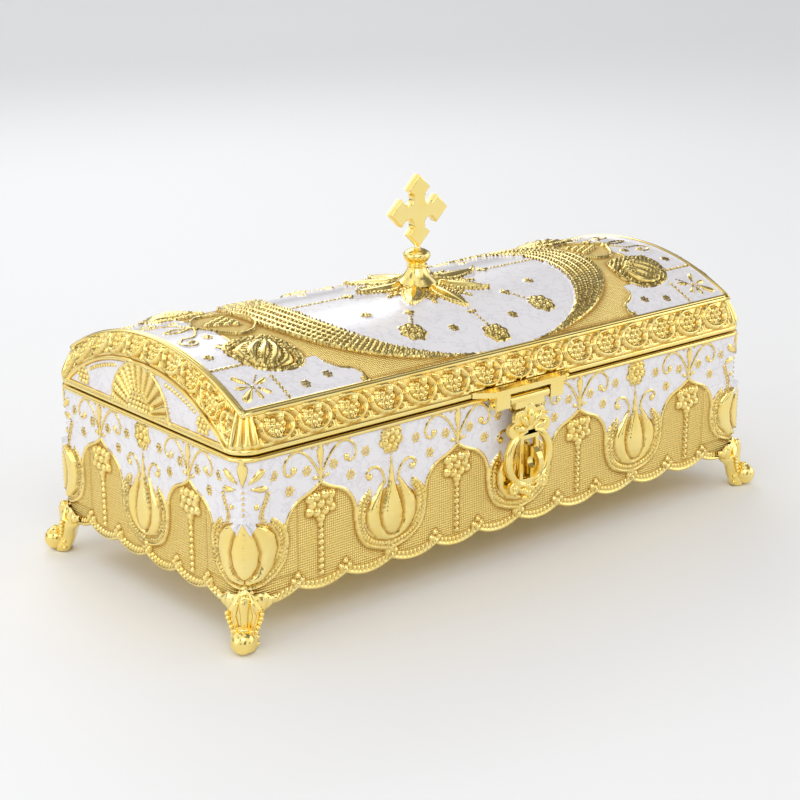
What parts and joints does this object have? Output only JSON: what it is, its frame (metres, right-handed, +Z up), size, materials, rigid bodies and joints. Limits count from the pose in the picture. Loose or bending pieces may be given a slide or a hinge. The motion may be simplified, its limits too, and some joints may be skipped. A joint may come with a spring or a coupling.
{
  "type": "reliquary casket",
  "caption": "Gilt and white-enamelled reliquary casket on cast feet, with a hinged vaulted lid, a cross finial and a hasp over a staple.",
  "frame": {"origin": "middle of the bounding box in plan, at the soles of the feet", "axes": "+X along the casket's length, +Y towards the rear hinges, -Y towards the clasp, +Z up"},
  "size_m": [0.2582, 0.1326, 0.1341],
  "materials": {
    "box": "polished gilt relief over pearly white enamel",
    "lid": "polished gilt relief over pearly white enamel",
    "feet": "polished gilt casting",
    "finial": "mirror-polished gilt",
    "clasp": "mirror-polished gilt casting",
    "hinges": "polished gilt"
  },
  "bodies": {
    "box": {"box_body": "box", "foot_front_left": "feet", "foot_front_right": "feet", "foot_back_right": "feet", "foot_back_left": "feet", "staple": "clasp", "hinge_left_box_leaf": "hinges", "hinge_right_box_leaf": "hinges", "hinge_left_pin": "hinges", "hinge_right_pin": "hinges"},
    "lid": {"lid": "lid", "finial_stem": "finial", "finial_cross": "finial", "clasp_bracket": "clasp", "clasp_pin": "clasp", "hinge_left_lid_leaf": "hinges", "hinge_right_lid_leaf": "hinges"},
    "hasp": {"hasp": "clasp"}
  },
  "joints": [
    {"name": "lid_hinge", "type": "hinge", "parent": "box", "child": "lid", "pos_m": [0, 0.06361, 0.0656], "axis": [-1, 0, 0], "range_deg": [0, 100]},
    {"name": "hasp_hinge", "type": "hinge", "parent": "lid", "child": "hasp", "pos_m": [0, -0.05809, 0.0629], "axis": [-1, 0, 0], "range_deg": [0, 100]}
  ]
}
